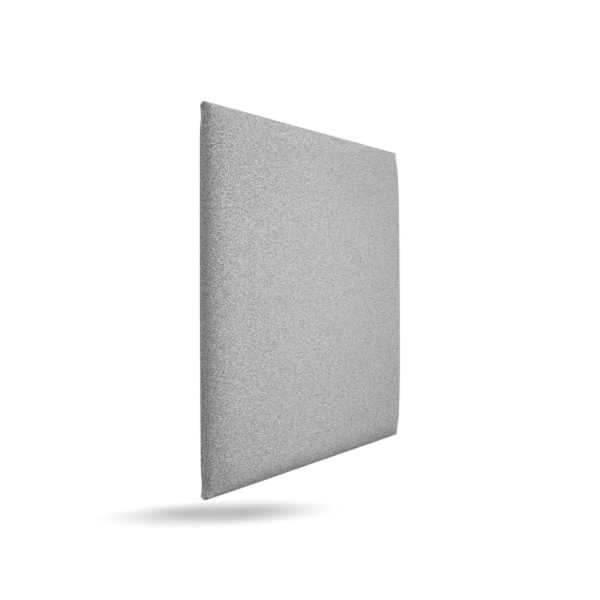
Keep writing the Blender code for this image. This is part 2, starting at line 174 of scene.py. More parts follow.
floor_finish = bpy.data.materials.new("pale_floor")
floor_finish.use_nodes = True
tree = floor_finish.node_tree
tree.nodes.clear()
to_camera = seen_directly(tree)
grey_for_light = (0.10, 0.10, 0.10, 1.0)
# The floor's grey to the camera. Under the lamps it stays darker than white, so inside the ellipse it
# paints the shadow.
painted_shadow_grey = (0.70, 0.70, 0.70, 1.0)
floor_colour = colour_between(tree, to_camera, grey_for_light, painted_shadow_grey)
matt = node(tree, "ShaderNodeBsdfDiffuse", {"Color": floor_colour})
place = node(tree, "ShaderNodeTexCoord").outputs["Object"]
turned_place = node(
    tree,
    "ShaderNodeMapping",
    {
        "Vector": place,
        "Location": (SHADOW_PLACE[0], SHADOW_PLACE[1], FLOOR_LEVEL),
        "Rotation": (0.0, 0.0, SHADOW_TURN),
        "Scale": (SHADOW_LONG, SHADOW_SHORT, 1.0),
    },
    vector_type="TEXTURE",
).outputs[0]
reach = node(tree, "ShaderNodeVectorMath", {0: turned_place}, operation="LENGTH").outputs["Value"]
# 0 in the heart of the painted shadow, and 1 where the floor has turned plain white.
out_of_painted_shadow = node(
    tree,
    "ShaderNodeMapRange",
    {"Value": reach, "From Min": SHADOW_HEART, "From Max": 1.0, "To Min": 0.0, "To Max": 1.0},
    interpolation_type="SMOOTHSTEP",
).outputs[0]
plain_white = reckon(tree, "MULTIPLY", out_of_painted_shadow, to_camera)
glow = node(tree, "ShaderNodeEmission", {"Color": WHITE, "Strength": 1.0})
mixed = node(tree, "ShaderNodeMixShader", {0: plain_white, 1: matt.outputs[0], 2: glow.outputs[0]})
node(tree, "ShaderNodeOutputMaterial", {"Surface": mixed.outputs[0]})
floor_mesh.materials.append(floor_finish)
print("shadow's half lengths on the floor in mm", SHADOW_LONG * 1000, SHADOW_SHORT * 1000)

# %% Lamps
def soft_lamp(name, side, rise, distance, size, level, aim=(0.0, 0.0, 0.0), spread=179.0):
    """A round lamp at two angles in degrees from the panel's front. Its level is the share of a
    white card's full brightness that it gives a card turned towards it at the panel. A lamp with a
    grid in front gathers its light into a beam, so its power is cut by what the beam would gain on
    its axis."""
    side, rise, half = np.radians([side, rise, spread / 2])
    direction = np.array([np.sin(side) * np.cos(rise), -np.cos(side) * np.cos(rise), np.sin(rise)])
    lamp_data = bpy.data.lights.new(name, "AREA")
    lamp_data.shape = "DISK"
    lamp_data.size = size
    lamp_data.spread = 2 * half
    lamp_data.energy = level * (np.pi * distance) ** 2 * (np.tan(half) - half) / np.tan(half)
    lamp = bpy.data.objects.new(name, lamp_data)
    lamp.location = np.array(aim) + direction * distance
    lamp.rotation_euler = (np.pi / 2 - rise, 0.0, side)
    bpy.context.scene.collection.objects.link(lamp)
    print(name, "at", np.round(lamp.location, 2).tolist(), "watts", round(lamp_data.energy, 1))


NEAR_HALF = (-0.10, -0.04, 0.015)

soft_lamp("broad_key", side=25.0, rise=15.0, distance=4.0, size=4.2, level=0.765)
soft_lamp(
    "near_front", side=3.0, rise=17.0, distance=2.0, size=0.6, level=0.74, aim=NEAR_HALF, spread=36.0
)
soft_lamp("left_fill", side=-106.0, rise=12.0, distance=4.0, size=3.0, level=0.312)
soft_lamp("back_fill", side=180.0, rise=35.0, distance=4.0, size=3.0, level=0.30)

# %% Surrounding light
SURROUND_LEVEL = 0.320

surround = bpy.data.worlds.new("pale_surround")
bpy.context.scene.world = surround
surround.use_nodes = True
tree = surround.node_tree
tree.nodes.clear()
strength = reckon(tree, "MULTIPLY_ADD", seen_directly(tree), 1.0 - SURROUND_LEVEL, SURROUND_LEVEL)
backdrop = node(tree, "ShaderNodeBackground", {"Color": WHITE, "Strength": strength})
node(tree, "ShaderNodeOutputWorld", {"Surface": backdrop.outputs[0]})
bpy.context.scene.view_settings.view_transform = "Standard"
print("surrounding light", SURROUND_LEVEL)

# %% [markdown]
# ## The form of the padded face
#
# A padded panel isn't a box. The foam rises from a straight side strip over a quarter-round roll, and
# the face is almost flat inside it. The cloth is drawn down hardest at the corners, so the crown is
# lower there, and each upright side draws in a little next to its folded corner. The folded cloth is
# thickest halfway down a corner and bulges there, and the two upper corners are rounder at the back.
#
# A box with bevelled edges would have the same roll everywhere, and none of these. So one function of
# two numbers describes the form, and each soft layer is that same form at its own depth.

# %% Sizes of the soft form
HALF = 0.300
STRIP_HEIGHT = 0.0128
STRIP_AT_CORNER = 0.0018
CROWN_RISE = 0.0245
FACE_DOME = 0.0007
ROLL_WIDTH = 0.0420
FRONT_RADIUS = 0.0038
BACK_RADIUS_TOP = 0.0050
BACK_RADIUS_BOTTOM = 0.0022
SIDE_SWELL = 0.0012
SIDE_DRAW = 0.0022
DRAW_PLACE = 0.0200
DRAW_LENGTH = 0.0140
TOP_SET_BACK = 0.0005
TOP_REACH = 0.0120
CORNER_PULL = 0.59
CORNER_REACH = 0.0670
FOLD_BULGE = 0.0021
FOLD_REACH = 0.0090
HEM_BACK_Y = -0.0018
BOARD_BACK_Y = -0.0033
BOARD_FRONT_Y = -0.0133
SEAT_GAP = 0.0003

body_depth = STRIP_HEIGHT + CROWN_RISE + FACE_DOME - HEM_BACK_Y
print("depth from the wall to the middle of the face in mm", round(body_depth * 1000, 1))

# %% Its plan
SHORTEST_SPOKE = 1e-6


def rounded_plan(u, v, radius):
    """Distances from two sides, bent so that the square corner becomes an arc of the radius."""
    near = np.minimum(u, v)
    along = np.abs(u - v)
    spoke = np.maximum(radius - near, SHORTEST_SPOKE)
    turn = np.pi / 4 * np.clip(1.0 - along / spoke, 0.0, 1.0)
    in_arc = near + along < radius
    close = np.where(in_arc, radius - spoke * np.cos(turn), near)
    far = np.where(in_arc, radius - spoke * np.sin(turn), near + along)
    return np.where(u <= v, close, far), np.where(u <= v, far, close)


def upright_side(along):
    """How far an upright side stands out: a slow swell to its middle, less a dip near its corner."""
    swell = SIDE_SWELL * np.sin(np.pi / 2 * along / HALF)
    return swell - SIDE_DRAW * np.exp(-(((along - DRAW_PLACE) / DRAW_LENGTH) ** 2))


def top_side(along):
    """How far the top side lies lower than its corners: a small step with a soft start."""
    return -TOP_SET_BACK * (1.0 - np.exp(-((along / TOP_REACH) ** 2)))


stand_out = upright_side(np.linspace(0.0, HALF, 301)) * 1000
print("an upright side stands out by mm", np.round([stand_out.min(), stand_out.max()], 2).tolist())

# %% Its rolls and crown
LEAST_ROLL = 1e-9


def roll(distance, width):
    """A quarter circle from 0 at the edge to 1 at the roll's width, and 1 beyond it."""
    inward = np.minimum(distance / width, 1.0)
    return np.sqrt(np.maximum(1.0 - (1.0 - inward) ** 2, 0.0))


def joined(first, second):
    """Two rolls made one: their product over their sum less their product. Next to one side it
    is that side's roll alone, and on the diagonal it is fuller than their product."""
    first, second = np.maximum(first, LEAST_ROLL), np.maximum(second, LEAST_ROLL)
    return first * second / (first + second - first * second)


def soft_form(a, b, inset=0.0, at_back=False):
    """The face at a and b from -1 to 1: a side strip, plus a crown times the two joined rolls,
    plus a slight dome. With an inset, the plan and crown shrink by it. At the back, the plan's
    corners have the radius of the fold there, and only x and z are of use."""
    u = HALF * (1.0 - np.abs(a))
    v = HALF * (1.0 - np.abs(b))
    rise_u = np.sin(np.pi / 2 * u / HALF)
    rise_v = np.sin(np.pi / 2 * v / HALF)
    middle = 1.0 - (1.0 - rise_u) * (1.0 - rise_v)
    strip = STRIP_HEIGHT + STRIP_AT_CORNER * (1.0 - middle)
    pull = 1.0 - CORNER_PULL * np.exp(-(u + v) / CORNER_REACH)
    crown = (CROWN_RISE * pull - inset) * joined(roll(u, ROLL_WIDTH), roll(v, ROLL_WIDTH))
    height = strip + crown + FACE_DOME * rise_u * rise_v
    radius = np.where(b > 0, BACK_RADIUS_TOP, BACK_RADIUS_BOTTOM) if at_back else FRONT_RADIUS
    bent_u, bent_v = rounded_plan(u, v, radius)
    fade_u = np.maximum(1.0 - u / ROLL_WIDTH, 0.0)
    fade_v = np.maximum(1.0 - v / ROLL_WIDTH, 0.0)
    x = np.sign(a) * (HALF - bent_u + upright_side(v) * fade_u)
    z = np.sign(b) * (HALF - bent_v + np.where(b > 0, top_side(u), 0.0) * fade_v)
    shrink = 1.0 - inset / HALF
    return np.stack([x * shrink, HEM_BACK_Y - height, z * shrink], axis=-1)


middle_of_face = soft_form(np.zeros(1), np.zeros(1))[0]
print("middle of the face in mm", np.round(middle_of_face * 1000, 1).tolist())

# %% Grid lines and a look through the camera
FACE_STEPS = (16, 44)


def grid_lines(roll_steps, middle_steps):
    """Places from -1 to 1, spaced by equal turns of the roll at both ends and evenly between."""
    turn = np.linspace(0.0, np.pi / 2, roll_steps + 1)
    rolled = ROLL_WIDTH * (1.0 - np.cos(turn))
    flat = np.linspace(ROLL_WIDTH, HALF, middle_steps + 1)[1:]
    inward = np.concatenate([rolled, flat]) / HALF
    return np.concatenate([inward - 1.0, (1.0 - inward)[-2::-1]])


def in_picture(places):
    """Column and row of points: sideways and upward distance over depth, times the focal length."""
    away = np.asarray(places) - CAMERA_PLACE
    depth = away @ look
    column = PICTURE_SIZE / 2 + FOCAL_PIXELS * (away @ camera_right) / depth
    row = AXIS_ROW - FOCAL_PIXELS * (away @ camera_up) / depth
    return np.stack([column, row], axis=1)


lines = grid_lines(*FACE_STEPS)
print("grid lines across the face", len(lines))
front_corners = soft_form(np.array([-1.0, -1.0, 1.0, 1.0]), np.array([1.0, -1.0, 1.0, -1.0]))
print("front corners in the picture", np.round(in_picture(front_corners), 1).tolist())

# %% [markdown]
# ## The cloth cover
#
# One square of cloth goes over the face, down the sides, round the back edge and in under the staples.
# Draped by simulation, it would land a little differently with every change, and its corners would
# crumple. So it is made as sheets of points: the face as a grid, the side and the fold as rows carried
# round its rim, and four hem strips that meet at mitred corners. The strips aren't joined at the mitres,
# because there the real cloth shows two folded edges lying against each other. Each point also gets its
# place on the flat cloth as a UV in metres, so the weave runs on unbroken over the rolls and sides.

# %% Grid helpers
def grid_cells(grid):
    """The values at the four corners of each cell of a grid, one row a cell. Of point numbers, these
    are the four-sided faces, and of flat places, they are the faces' UVs in the same order."""
    corners = (grid[:-1, :-1], grid[1:, :-1], grid[1:, 1:], grid[:-1, 1:])
    return np.stack([corner.reshape(-1, *grid.shape[2:]) for corner in corners], axis=1)


def rim_of(numbers):
    """Point numbers once round a square grid's border: bottom, right, top and left side."""
    sides = (numbers[:-1, 0], numbers[-1, :-1], numbers[:0:-1, -1], numbers[0, :0:-1])
    return np.concatenate(sides)


def closed_round(rows):
    """The same rows with their first column again at the end, which closes them to a ring."""
    return np.concatenate([rows, rows[:, :1]], axis=1)


def add_surface(name, points, faces, uvs=None):
    """A smooth mesh object from whole arrays of points, faces and flat places."""
    mesh = bpy.data.meshes.new(name)
    mesh.from_pydata(points.tolist(), [], faces.tolist())
    if uvs is not None:
        mesh.uv_layers.new(name="flat_cloth").data.foreach_set("uv", uvs.ravel())
    mesh.polygons.foreach_set("use_smooth", np.ones(len(faces), dtype=bool))
    mesh.update()
    made = bpy.data.objects.new(name, mesh)
    bpy.context.scene.collection.objects.link(made)
    return made


# %% The cover's face and rim
CLOTH_THICK = 0.0012
FOLD_RADIUS = 0.0022
SIDE_ROWS = 8
FOLD_ROWS = 5


def running_length(points, axis):
    """Distance walked along one direction of a grid, measured from its middle line."""
    steps = np.linalg.norm(np.diff(points, axis=axis), axis=-1)
    walked = np.cumsum(steps, axis=axis)
    walked = np.concatenate([np.zeros_like(np.take(walked, [0], axis=axis)), walked], axis=axis)
    return walked - np.take(walked, [walked.shape[axis] // 2], axis=axis)


count = len(lines)
a_grid, b_grid = np.meshgrid(lines, lines, indexing="ij")
face = soft_form(a_grid, b_grid)
face_flat = np.stack([running_length(face, 0), running_length(face, 1)], axis=-1)
face_numbers = np.arange(count * count).reshape(count, count)
rim = rim_of(face_numbers)
rim_points = face.reshape(-1, 3)[rim]
rim_flat = face_flat.reshape(-1, 2)[rim]
rim_square = np.stack([a_grid.ravel()[rim], b_grid.ravel()[rim]], axis=1)
cloth_across = float(np.ptp(face_flat[:, count // 2, 0]))
print("rim points", len(rim), "cloth over the face in mm", round(cloth_across * 1000, 1))

# %% Its side and fold
down = np.linspace(0.0, 1.0, SIDE_ROWS + 1)[1:, None, None]
side_end = soft_form(*rim_square.T, at_back=True)
side_end[:, 1] = HEM_BACK_Y - FOLD_RADIUS
from_corner = HALF * (1.0 - np.abs(rim_square))
near_corner = np.exp(-(from_corner**2).sum(axis=1) / FOLD_REACH**2)[:, None]
corner_fold = FOLD_BULGE * near_corner * np.insert(np.sign(rim_square), 1, 0.0, axis=1)
side = rim_points + down * (side_end - rim_points) + np.sin(np.pi * down) * corner_fold
along_rim = np.roll(side_end, -1, axis=0) - np.roll(side_end, 1, axis=0)
outward = np.stack([along_rim[:, 2], np.zeros(len(rim)), -along_rim[:, 0]], axis=1)
outward /= np.linalg.norm(outward, axis=1, keepdims=True)
bend = np.linspace(0.0, np.pi / 2, FOLD_ROWS + 1)[1:, None, None]
backward = np.array([0.0, 1.0, 0.0])
fold = side_end + FOLD_RADIUS * (np.sin(bend) * backward - (1.0 - np.cos(bend)) * outward)
skirt_points = np.concatenate([rim_points[None], side, fold])
skirt_numbers = count * count + np.arange(len(rim) * (SIDE_ROWS + FOLD_ROWS))
skirt_numbers = np.concatenate([rim[None], skirt_numbers.reshape(-1, len(rim))])
steps = np.linalg.norm(np.diff(skirt_points, axis=0), axis=-1)
drop = np.concatenate([np.zeros((1, len(rim))), np.cumsum(steps, axis=0)])
print("cloth down the side and round the fold in mm", round(float(drop[-1].max()) * 1000, 1))

# %% Its hem
HEM_HALF = 0.260
HEM_ROWS = 12
MITRE_GAP = 0.0004
MITRE_OPENING = 6.0
CUT_WANDER = 0.0006
CUT_WAVES = 9.0


def hem_strip(side_number):
    """One side's skirt and hem: its point numbers and flat places, and the hem's new points. The
    hem is drawn in a straight line from the fold to the cut edge, which wanders in a slow wave that
    dies out at the corners. It is kept off the mitre lines by a gap that opens steadily from the
    fold to its full width."""
    on_side = (np.arange(count) + side_number * (count - 1)) % len(rim)
    out, run = (1, 0) if side_number in (0, 2) else (0, 1)
    sign = 1.0 if side_number in (1, 2) else -1.0
    skirt_flat = np.repeat(rim_flat[None, on_side], len(skirt_points), axis=0)
    skirt_flat[..., out] += sign * drop[:, on_side]
    square = rim_square[on_side]
    cut_edge = HEM_HALF * np.stack([square[:, 0], np.zeros(count), square[:, 1]], axis=1)
    wave = np.sin(CUT_WAVES * square[:, run] + side_number)
    cut_edge[:, 2 * out] += CUT_WANDER * wave * (1 - square[:, run] ** 2)
    cut_edge[:, 1] = HEM_BACK_Y
    start = skirt_points[-1, on_side]
    inward = np.linspace(0.0, 1.0, HEM_ROWS + 1)[1:, None, None]
    hem = start + inward * (cut_edge - start)
    reach = np.abs(hem[:, :1, 2 * run])
    opening = np.minimum(inward[..., 0] * MITRE_OPENING, 1.0)
    hem[..., 2 * run] *= 1.0 - MITRE_GAP * opening / reach
    hem_flat = np.repeat(skirt_flat[-1:], HEM_ROWS, axis=0)
    hem_flat[..., out] += sign * np.abs(hem[..., 2 * out] - start[:, 2 * out])
    hem_flat[..., run] += hem[..., 2 * run] - start[:, 2 * run]
    return skirt_numbers[:, on_side], np.concatenate([skirt_flat, hem_flat]), hem


# %% The whole cover
points = [face.reshape(-1, 3), skirt_points[1:].reshape(-1, 3)]
faces = [grid_cells(face_numbers)]
uvs = [grid_cells(face_flat)]
for side_number in range(4):
    skirt_part, flat, hem = hem_strip(side_number)
    hem_numbers = sum(len(part) for part in points) + np.arange(HEM_ROWS * count)
    numbers = np.concatenate([skirt_part, hem_numbers.reshape(HEM_ROWS, count)])
    points.append(hem.reshape(-1, 3))
    faces.append(grid_cells(numbers))
    uvs.append(grid_cells(flat))
flat_places = np.concatenate(uvs)
cover = add_surface("cloth_cover", np.concatenate(points), np.concatenate(faces), flat_places)
wall = cover.modifiers.new("cloth_thickness", "SOLIDIFY")
wall.thickness = CLOTH_THICK
wall.offset = -1.0
CUT_SIZE = float(np.ptp(flat_places[..., 0]))
print("cover faces", len(cover.data.polygons), "cut size in mm", round(CUT_SIZE * 1000, 1))

# %% [markdown]
# ## Wadding and foam
#
# Under the cloth lies a thin even layer of white wadding, which goes over the board's edge and takes
# its sharpness away. Under that is the foam pad, cut flat where it lies on the board. A scaled copy of
# the cover would be thin in one place and thick in another. So both are the same soft form again, each
# at its own depth, and the layers nest.

# %% Wadding
WADDING_INSET = 0.0013
WADDING_THICK = 0.0017
INNER_STEPS = (9, 30)
SIDE_STEPS = 4

inner_lines = grid_lines(*INNER_STEPS)
inner_count = len(inner_lines)
inner_a, inner_b = np.meshgrid(inner_lines, inner_lines, indexing="ij")
inner_numbers = np.arange(inner_count**2).reshape(inner_count, inner_count)
inner_rim = rim_of(inner_numbers)


def shell_with_side(inset, back_y):
    """The soft form at one depth, and its side carried straight back from the rim to a level."""
    top = soft_form(inner_a, inner_b, inset).reshape(-1, 3)
    end = soft_form(inner_a, inner_b, inset, at_back=True).reshape(-1, 3)[inner_rim]
    end[:, 1] = back_y
    share = np.linspace(0.0, 1.0, SIDE_STEPS + 1)[1:, None, None]
    side = top[inner_rim] + share * (end - top[inner_rim])
    numbers = len(top) + np.arange(SIDE_STEPS * len(inner_rim)).reshape(SIDE_STEPS, -1)
    numbers = closed_round(np.concatenate([inner_rim[None], numbers]))
    faces = np.concatenate([grid_cells(inner_numbers), grid_cells(numbers)])
    return np.concatenate([top, side.reshape(-1, 3)]), faces, numbers[-1]


outer_points, outer_faces, outer_edge = shell_with_side(WADDING_INSET, BOARD_BACK_Y)
inner_points, inner_faces, inner_edge = shell_with_side(WADDING_INSET + WADDING_THICK, BOARD_BACK_Y)
shift = len(outer_points)
edge_faces = grid_cells(np.stack([outer_edge, inner_edge + shift]))
wadding = add_surface(
    "wadding",
    np.concatenate([outer_points, inner_points]),
    np.concatenate([outer_faces, inner_faces[:, ::-1] + shift, edge_faces]),
)
print("wadding faces", len(wadding.data.polygons))

# %% Foam pad
PAD_INSET = 0.0042
PAD_BACK_Y = BOARD_FRONT_Y - SEAT_GAP

pad_points, pad_faces, pad_edge = shell_with_side(PAD_INSET, PAD_BACK_Y)
back_points = soft_form(inner_a, inner_b, PAD_INSET).reshape(-1, 3)
back_points[:, 1] = PAD_BACK_Y
back_numbers = inner_numbers + len(pad_points)
back_numbers.ravel()[inner_rim] = pad_edge[:-1]
used = np.setdiff1d(np.arange(inner_count**2), inner_rim)
renumber = np.arange(len(pad_points) + inner_count**2)
renumber[len(pad_points) + used] = len(pad_points) + np.arange(len(used))
back_faces = renumber[grid_cells(back_numbers)][:, ::-1]
pad = add_surface(
    "pad_of_foam",
    np.concatenate([pad_points, back_points[used]]),
    np.concatenate([pad_faces, back_faces]),
)
print("pad faces", len(pad.data.polygons))

# %% [markdown]
# ## The pad swells into its cover
#
# Foam under a stretched cloth is squeezed, and swells until the cover holds it. A numbers-only form
# can't show how evenly it does that, so here a cloth simulation does the work: the pad's skin becomes
# an even net of small squares, and a slight pressure blows it up for twenty steps without gravity. The
# swelling is then cut down, all points by the same share, until the one that moves furthest just fills
# the room that is left under the wadding. The back stays flat on the board.

# %% Swelling by simulation
NET_SIZE = 0.006
PRESSURE = 4.0
LAST_STEP = 20
ROOM_TO_SWELL = 0.0007


def places_of(mesh):
    """All points of a mesh as one array."""
    places = np.empty(len(mesh.vertices) * 3)
    mesh.vertices.foreach_get("co", places)
    return places.reshape(-1, 3)


def worked_out(piece):
    """A new mesh of the piece as its modifiers leave it."""
    now = bpy.context.evaluated_depsgraph_get()
    return bpy.data.meshes.new_from_object(piece.evaluated_get(now))


net = pad.modifiers.new("even_net", "REMESH")
net.mode = "VOXEL"
net.voxel_size = NET_SIZE
netted = worked_out(pad)
pad.modifiers.clear()
pad.data = netted
start = places_of(netted)
swelling = pad.modifiers.new("swelling", "CLOTH")
swelling.settings.use_pressure = True
swelling.settings.uniform_pressure_force = PRESSURE
swelling.settings.effector_weights.gravity = 0.0
for step in range(1, LAST_STEP + 1):
    bpy.context.scene.frame_set(step)
moved = places_of(worked_out(pad)) - start
bpy.context.scene.frame_set(1)
pad.modifiers.clear()
furthest = float(np.linalg.norm(moved, axis=1).max())
end = start + moved * min(1.0, ROOM_TO_SWELL / furthest)
end[:, 1] = np.minimum(end[:, 1], PAD_BACK_Y)
netted.vertices.foreach_set("co", end.ravel())
netted.polygons.foreach_set("use_smooth", np.ones(len(netted.polygons), dtype=bool))
netted.update()
finer = pad.modifiers.new("finer_skin", "SUBSURF")
finer.levels = 1
finer.render_levels = 1
print("points in the net", len(start), "furthest move in mm", round(furthest * 1000, 1))

# %% [markdown]
# ## The cloth's finish
#
# A melange cloth is woven from yarns that are spun of pale and dark fibres together, so it is grey from
# far off and flecked from near by. A picture of cloth could be laid over the panel, but its threads would
# blur from near by and stretch over the rolls. So the weave is worked out on the flat cloth: two sets of
# yarns cross over and under like a chessboard, each rounded across its width and dipping where the next
# one passes over it.
#
# Each crossing shows its own random mix of pale and dark fibres, and each yarn has its own run of flecks,
# a few millimetres long. Over several yarns the fibres gather in tufts and clumps, which are a little
# taller than they are wide. Fine fibres stand off the yarns, which a little sheen and a small random bump
# stand for.

# %% Helpers for finishes
def new_finish(name):
    """An empty finish with its shader, and the tree that it is built in."""
    finish = bpy.data.materials.new(name)
    finish.use_nodes = True
    return finish, finish.node_tree, finish.node_tree.nodes["Principled BSDF"]


def give(tree, shader, **outputs):
    """Links outputs to the shader by their plain names: colour, bump and roughness."""
    sockets = {"colour": "Base Color", "bump": "Normal", "roughness": "Roughness"}
    for name, output in outputs.items():
        tree.links.new(output, shader.inputs[sockets[name]])


def noise(tree, place, scale, detail=2.0, roughness=0.6):
    """Soft random values round a half, with features one over the scale wide."""
    values = {"Vector": place, "Scale": scale, "Detail": detail, "Roughness": roughness}
    return node(tree, "ShaderNodeTexNoise", values).outputs[0]


def place_from(tree, x, y, z=0.0):
    """A place made of three numbers or outputs."""
    return node(tree, "ShaderNodeCombineXYZ", {0: x, 1: y, 2: z}).outputs[0]


def stretched(tree, place, scale, turn=(0.0, 0.0, 0.0)):
    """The place turned by three angles and stretched by three factors."""
    values = {"Vector": place, "Rotation": turn, "Scale": scale}
    return node(tree, "ShaderNodeMapping", values).outputs[0]


def map_onto(tree, value, low, high, new_low=0.0, new_high=1.0):
    """A value between two limits, stretched onto two new ones and held there."""
    values = {0: value, 1: low, 2: high, 3: new_low, 4: new_high}
    return node(tree, "ShaderNodeMapRange", values).outputs[0]


def scaled(tree, colour, factor):
    """A colour made darker or lighter by a factor."""
    return node(tree, "ShaderNodeVectorMath", {0: colour, "Scale": factor}, operation="SCALE").outputs[0]


def relief(tree, height, strength, distance):
    """A bump of the height, where a height of 1 stands as far out as the distance."""
    values = {"Height": height, "Strength": strength, "Distance": distance}
    return node(tree, "ShaderNodeBump", values).outputs[0]


# %% Weave
YARN_PITCH = 0.0010
YARN_DIP = 0.45

cloth, tree, shader = new_finish("grey_melange_cloth_woven")
flat_place = node(tree, "ShaderNodeUVMap", uv_map="flat_cloth").outputs[0]
flat_x, flat_y, _ = node(tree, "ShaderNodeSeparateXYZ", {0: flat_place}).outputs
yarn_x = reckon(tree, "DIVIDE", flat_x, YARN_PITCH)
yarn_y = reckon(tree, "DIVIDE", flat_y, YARN_PITCH)
column = reckon(tree, "FLOOR", yarn_x)
row = reckon(tree, "FLOOR", yarn_y)
upright_on_top = reckon(tree, "FLOORED_MODULO", reckon(tree, "ADD", column, row), 2.0)
off_x = reckon(tree, "SUBTRACT", reckon(tree, "FRACT", yarn_x), 0.5)
off_y = reckon(tree, "SUBTRACT", reckon(tree, "FRACT", yarn_y), 0.5)


def either_yarn(upright, level):
    """The first value where the upright yarn lies on top, and the second where the level one does."""
    values = {0: upright_on_top, 2: level, 3: upright}
    return node(tree, "ShaderNodeMix", values).outputs[0]


def half_wave(off):
    """1 at the middle of a yarn or crossing and 0 at its ends: the cosine of half a turn."""
    return reckon(tree, "COSINE", reckon(tree, "MULTIPLY", off, np.pi))


round_across = half_wave(either_yarn(off_x, off_y))
arch_along = reckon(tree, "MULTIPLY_ADD", half_wave(either_yarn(off_y, off_x)), YARN_DIP, 1.0 - YARN_DIP)
yarn_height = reckon(tree, "MULTIPLY", round_across, arch_along)
print("yarns across the cloth", round(CUT_SIZE / YARN_PITCH))

# %% Flecks
FLECK_LENGTH = 0.0026
YARNS_APART = 5.37
UPRIGHT_LAYER = 3.0
LEVEL_LAYER = 17.0
TUFT_SHAPE = (1.15, 0.85, 1.0)
TUFTS_PER_METRE = 760.0
CLUMPS_PER_METRE = 330.0
TUFT_SPAN = (0.41, 0.59)
YARN_SPAN = (0.36, 0.64)
CROSSING_SHARE = 0.40
YARN_SHARE = 0.16
TUFT_SHARE = 0.38
CLUMP_SHARE = 0.06
FLECK_SPAN = (0.195, 0.805)

run_x = reckon(tree, "MULTIPLY", flat_x, 1.0 / FLECK_LENGTH)
run_y = reckon(tree, "MULTIPLY", flat_y, 1.0 / FLECK_LENGTH)
upright_run = place_from(tree, reckon(tree, "MULTIPLY", column, YARNS_APART), run_y, UPRIGHT_LAYER)
level_run = place_from(tree, run_x, reckon(tree, "MULTIPLY", row, YARNS_APART), LEVEL_LAYER)
yarn_run = either_yarn(noise(tree, upright_run, 1.0), noise(tree, level_run, 1.0))
yarn_fleck = map_onto(tree, yarn_run, *YARN_SPAN)
crossing = place_from(tree, column, row)
crossing_fleck = node(tree, "ShaderNodeTexWhiteNoise", {"Vector": crossing}).outputs["Value"]
tuft_place = stretched(tree, flat_place, TUFT_SHAPE)
tuft_fleck = map_onto(tree, noise(tree, tuft_place, TUFTS_PER_METRE), *TUFT_SPAN)
clump_fleck = map_onto(tree, noise(tree, tuft_place, CLUMPS_PER_METRE), *TUFT_SPAN)
fleck = reckon(tree, "MULTIPLY", yarn_fleck, YARN_SHARE)
fleck = reckon(tree, "MULTIPLY_ADD", crossing_fleck, CROSSING_SHARE, fleck)
fleck = reckon(tree, "MULTIPLY_ADD", tuft_fleck, TUFT_SHARE, fleck)
fleck = reckon(tree, "MULTIPLY_ADD", clump_fleck, CLUMP_SHARE, fleck)
fleck = map_onto(tree, fleck, *FLECK_SPAN)
print("nodes up to the flecks", len(tree.nodes))

# %% Colour and nap
CLOTH_GREY = (0.488, 0.487, 0.486)
DARK_FIBRE = 0.12
PALE_FIBRE = 1.91
CLOUDS_PER_METRE = 42.0
FIBRES_PER_METRE = 5200.0
NAP_SHARE = 0.22
WEAVE_RELIEF = 0.00034

dark_fibre = tuple(level * DARK_FIBRE for level in CLOTH_GREY) + (1.0,)
pale_fibre = tuple(level * PALE_FIBRE for level in CLOTH_GREY) + (1.0,)
melange = colour_between(tree, fleck, dark_fibre, pale_fibre)
clouds = noise(tree, flat_place, CLOUDS_PER_METRE, detail=3.0, roughness=0.55)
tint_share = map_onto(tree, clouds, 0.35, 0.65)
warmer = (1.0, 0.995, 0.985, 1.0)
cooler = (0.985, 0.99, 1.0, 1.0)
tint = colour_between(tree, tint_share, warmer, cooler)
tinted = node(
    tree, "ShaderNodeMix", {0: 1.0, 6: melange, 7: tint}, data_type="RGBA", blend_type="MULTIPLY"
).outputs[2]
# Painted shade in the gaps between the yarns, and a slight painted highlight on their tops: the colour
# follows the yarn's height.
shade_in_gaps = map_onto(tree, yarn_height, 0.0, 0.8, 0.72, 1.04)
nap = noise(tree, flat_place, FIBRES_PER_METRE)
cloth_height = reckon(tree, "MULTIPLY_ADD", nap, NAP_SHARE, yarn_height)
give(
    tree,
    shader,
    colour=scaled(tree, tinted, shade_in_gaps),
    bump=relief(tree, cloth_height, strength=0.70, distance=WEAVE_RELIEF),
    roughness=map_onto(tree, fleck, 0.0, 1.0, 0.96, 0.84),
)
shader.inputs["Specular IOR Level"].default_value = 0.18
shader.inputs["Sheen Weight"].default_value = 0.06
shader.inputs["Sheen Roughness"].default_value = 0.55
cover.data.materials.append(cloth)
print("nodes in the cloth's finish", len(tree.nodes))

# %% [markdown]
# ## Wadding and foam finishes
#
# Wadding is a mat of loose white fibres: bright, cloudy and without any sheen of its own. Where its
# strands lie low, the white is darker as painted shade. Foam is pale and slightly yellow, full of small
# open cells whose pits are painted darker as painted shade. Both are worked out on the place in the piece
# itself, which needs no flat cloth and runs through the sides unbroken. Stretched random values make the
# strands, and the distance to scattered points makes the cells.

# %% Wadding's finish
STRANDS_PER_METRE = 420.0
STRAND_SHAPE = (1.0, 1.0, 3.0)
STRAND_RELIEF = 0.0009


def object_place(tree):
    """The place on the object, in metres from its origin."""
    return node(tree, "ShaderNodeTexCoord").outputs["Object"]


fluff, tree, shader = new_finish("white_wadding_mat")
place = stretched(tree, object_place(tree), STRAND_SHAPE)
strands = noise(tree, place, STRANDS_PER_METRE, detail=5.0, roughness=0.7)
# Painted shade: the wadding's white is darker where the strands lie low.
painted_shade_between_strands = (0.66, 0.66, 0.65, 1.0)
on_strands = (0.88, 0.88, 0.87, 1.0)
give(
    tree,
    shader,
    colour=colour_between(tree, map_onto(tree, strands, 0.3, 0.7), painted_shade_between_strands, on_strands),
    bump=relief(tree, strands, strength=0.7, distance=STRAND_RELIEF),
)
shader.inputs["Roughness"].default_value = 0.95
shader.inputs["Sheen Weight"].default_value = 0.2
wadding.data.materials.append(fluff)
print("nodes in the wadding's finish", len(tree.nodes))

# %% Foam's finish
CELLS_PER_METRE = 750.0
CELL_RELIEF = 0.0007
AGEING_PER_METRE = 9.0

